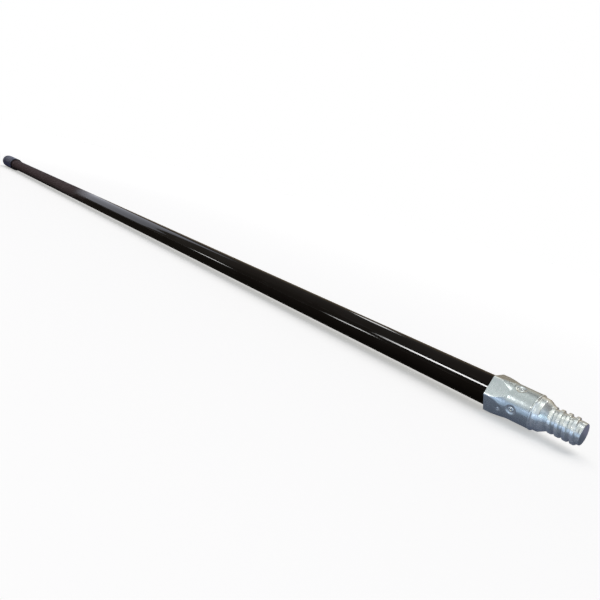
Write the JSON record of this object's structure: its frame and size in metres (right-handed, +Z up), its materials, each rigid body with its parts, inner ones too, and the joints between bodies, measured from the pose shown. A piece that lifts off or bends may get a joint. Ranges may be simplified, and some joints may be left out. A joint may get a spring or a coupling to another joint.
{
  "type": "roller extension pole",
  "caption": "One-piece steel extension pole with a cast hexagonal tip, threaded for paint roller frames, and a slip-on end cap.",
  "frame": {"origin": "centre of the threaded tip's end face, on the pole's axis", "axes": "+X along the pole's axis and out of the threaded tip, so the pole runs back along -X; +Z up, with one flat of the hexagon facing -Z; +Y to the side by the right-hand rule"},
  "size_m": [1.524, 0.0314, 0.0296],
  "materials": {
    "black_enamel": "gloss black enamel on steel, thin orange peel, dull towards the cap",
    "cast_metal": "satin die-cast metal as it left the die, unpainted",
    "dark_vinyl": "matte dip-moulded vinyl, slate grey with a navy tint"
  },
  "bodies": {
    "pole": {"pole_tube": "black_enamel", "threaded_tip": "cast_metal"},
    "cap": {"end_cap": "dark_vinyl"}
  },
  "joints": [
    {"name": "cap_pull_off", "type": "slide", "parent": "pole", "child": "cap", "axis": [-1, 0, 0], "range_m": [0, 0.085]}
  ]
}
